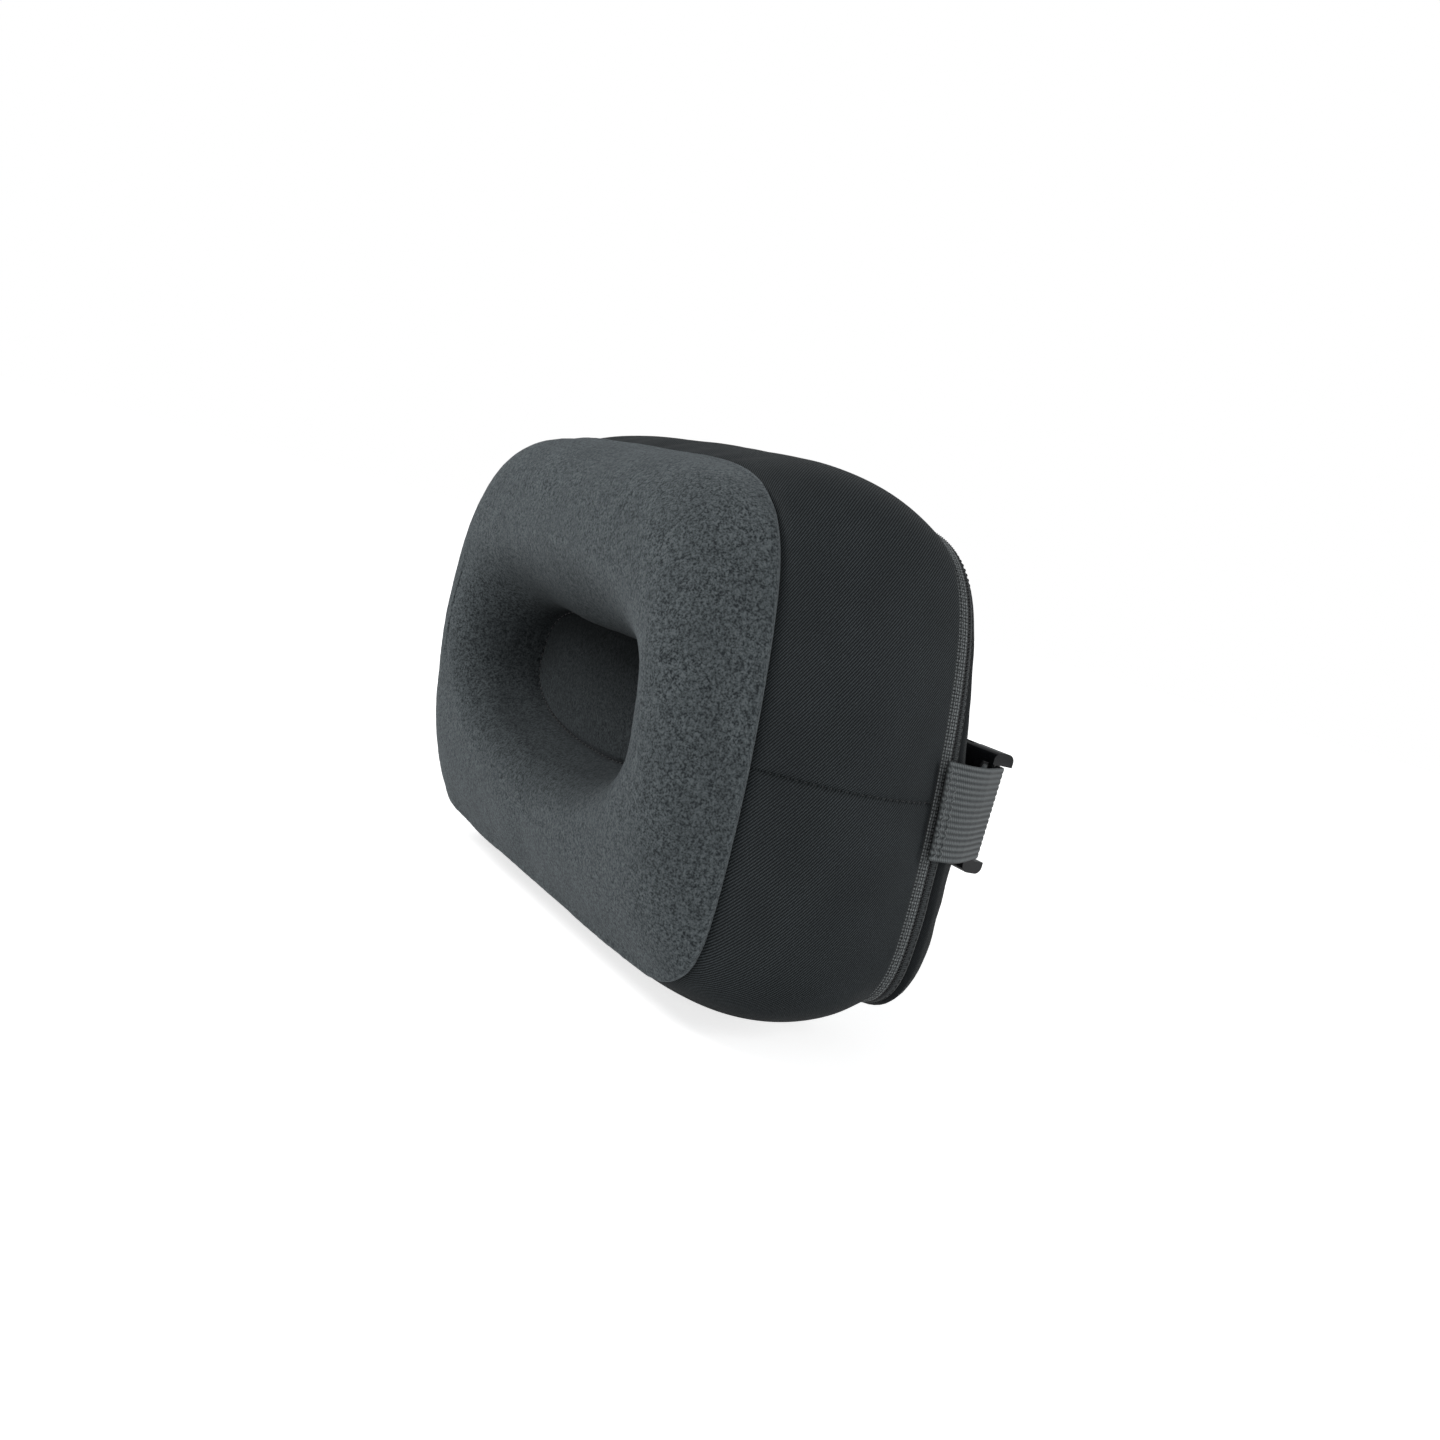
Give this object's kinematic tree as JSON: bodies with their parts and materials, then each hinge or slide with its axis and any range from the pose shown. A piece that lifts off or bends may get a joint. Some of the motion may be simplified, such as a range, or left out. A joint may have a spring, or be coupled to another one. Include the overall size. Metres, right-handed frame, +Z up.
{
  "type": "chair headrest pillow",
  "caption": "Strap-on contoured headrest pillow with a recessed head side, a zipped cover, and a belt with a side-release buckle that goes round a chair back.",
  "frame": {"origin": "middle of the flat rear rest face that lies against the chair back", "axes": "+Z up, the head side faces -Y and the chair side +Y, +X is to the right for somebody facing the head side"},
  "size_m": [0.2536, 0.1325, 0.1861],
  "materials": {
    "foam": "moulded open-cell polyurethane foam, satin skin",
    "liner": "thin white jersey",
    "velour": "short cut pile, charcoal, soft sheen at grazing angles",
    "side_cloth": "fine twill weave, near black",
    "rear_cloth": "fine plain weave, near black",
    "zip_tape": "woven tape, dark grey",
    "zip_chain": "nylon coil, satin black",
    "zip_metal": "black lacquer over zinc",
    "webbing": "ribbed polypropylene webbing, mid grey",
    "thread": "bonded polyester thread",
    "buckle": "polished black acetal"
  },
  "bodies": {
    "cushion": {"foam_core": "foam", "inner_liner": "liner", "front_cover": "velour", "recess_patch": "velour", "upper_side_panel": "side_cloth", "lower_side_panel": "side_cloth", "rear_panel": "rear_cloth", "zip_tape_front": "zip_tape", "zip_tape_rear": "zip_tape", "zip_chain_front": "zip_chain", "zip_chain_rear": "zip_chain", "zip_stop_start": "zip_metal", "zip_stop_end": "zip_metal", "short_strap": "webbing", "short_strap_stitching": "thread", "long_strap": "webbing", "long_strap_stitching": "thread", "buckle_female": "buckle"},
    "buckle_insert": {"buckle_male": "buckle"},
    "upper_prong_arm": {"upper_prong": "buckle"},
    "lower_prong_arm": {"lower_prong": "buckle"},
    "adjuster": {"strap_adjuster": "buckle"},
    "slider": {"zip_slider": "zip_metal"},
    "pull_tab": {"zip_pull": "zip_metal"}
  },
  "joints": [
    {"name": "buckle_release", "type": "slide", "parent": "cushion", "child": "buckle_insert", "axis": [-1, 0, 0], "range_m": [0, 0.03], "deforming": ["long_strap", "upper_prong", "lower_prong"]},
    {"name": "upper_prong_squeeze", "type": "hinge", "parent": "buckle_insert", "child": "upper_prong_arm", "pos_m": [0.063, 0.0086, 0.00625], "axis": [0, 1, 0], "range_deg": [0, 10]},
    {"name": "lower_prong_squeeze", "type": "hinge", "parent": "buckle_insert", "child": "lower_prong_arm", "pos_m": [0.063, 0.0086, -0.02025], "axis": [0, 1, 0], "range_deg": [-10, 0]},
    {"name": "adjuster_slide", "type": "slide", "parent": "cushion", "child": "adjuster", "axis": [1, 0, 0], "range_m": [-0.015, 0.02], "deforming": ["long_strap"]},
    {"name": "zip_travel", "type": "slide", "parent": "cushion", "child": "slider", "axis": [1, 0, 0], "range_m": [0, 0.055]},
    {"name": "pull_tab_swing", "type": "hinge", "parent": "slider", "child": "pull_tab", "pos_m": [0.0132, -0.018, -0.0858], "axis": [0, 1, 0], "range_deg": [0, 165]}
  ],
  "couplings": [
    {"joint": "lower_prong_squeeze", "follows": "upper_prong_squeeze", "ratio": -1}
  ]
}
